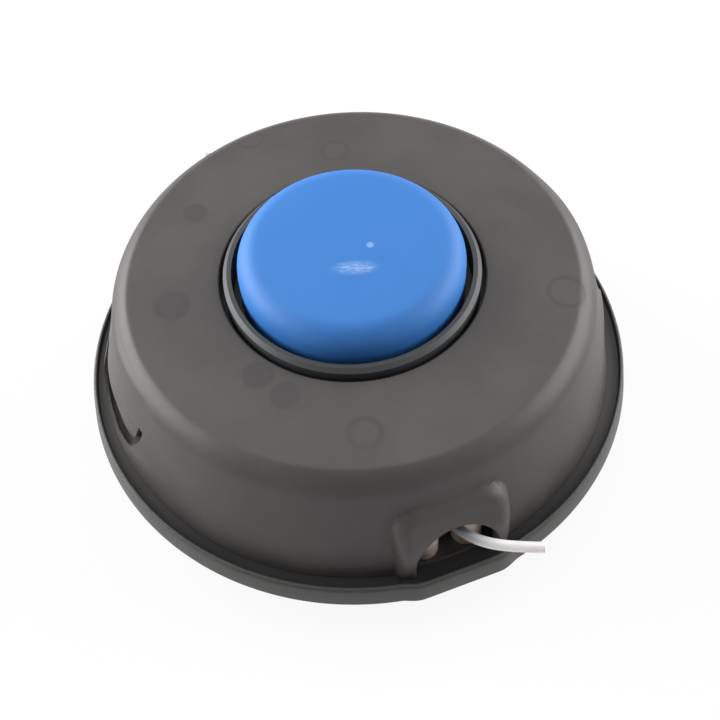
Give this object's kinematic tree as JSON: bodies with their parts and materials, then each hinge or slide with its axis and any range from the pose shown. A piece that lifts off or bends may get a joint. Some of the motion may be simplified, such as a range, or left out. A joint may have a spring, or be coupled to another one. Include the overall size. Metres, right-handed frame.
{
  "type": "string trimmer head",
  "caption": "Tap-to-feed string trimmer head: domed cover with side line outlets, sprung spool with a centre tap button, and a threaded hub for the gearbox spindle.",
  "frame": {"origin": "centre of the hub face that meets the gearbox, on the head's axis", "axes": "+Z along the head's axis from the gearbox towards the tap button, +X through the front line outlet"},
  "size_m": [0.1404, 0.13, 0.0569],
  "materials": {
    "housing_plastic": "satin black moulded nylon",
    "cover_plastic": "satin black moulded nylon",
    "spool_plastic": "satin dark grey moulded nylon",
    "button_plastic": "semi-gloss blue",
    "sleeve_metal": "drawn tube",
    "line_nylon": "translucent white monofilament",
    "spring_steel": "drawn wire",
    "plated_steel": "zinc plated"
  },
  "bodies": {
    "housing": {"base_housing": "housing_plastic", "arbor_nut": "plated_steel", "lower_cover": "cover_plastic", "line_sleeve_front_left": "sleeve_metal", "line_sleeve_front_right": "sleeve_metal", "line_sleeve_rear_left": "sleeve_metal", "line_sleeve_rear_right": "sleeve_metal", "line_end_front": "line_nylon", "line_end_rear": "line_nylon", "return_spring": "spring_steel"},
    "spring_seat": {"spring_washer": "plated_steel"},
    "spool_set": {"spool": "spool_plastic", "line_winding_lower": "line_nylon", "line_winding_upper": "line_nylon", "tap_button": "button_plastic"}
  },
  "joints": [
    {"name": "tap", "type": "slide", "parent": "housing", "child": "spring_seat", "axis": [0, 0, 1], "range_m": [-0.007, 0], "stiffness_N_per_m": 1800, "springref_m": 0.006, "deforming": ["return_spring"]},
    {"name": "spool_step", "type": "hinge", "parent": "spring_seat", "child": "spool_set", "pos_m": [0, 0, 0], "axis": [0, 0, 1], "range_deg": [0, 30]}
  ],
  "couplings": [
    {"joint": "spool_step", "follows": "tap", "rad_per_m": -74.8}
  ]
}
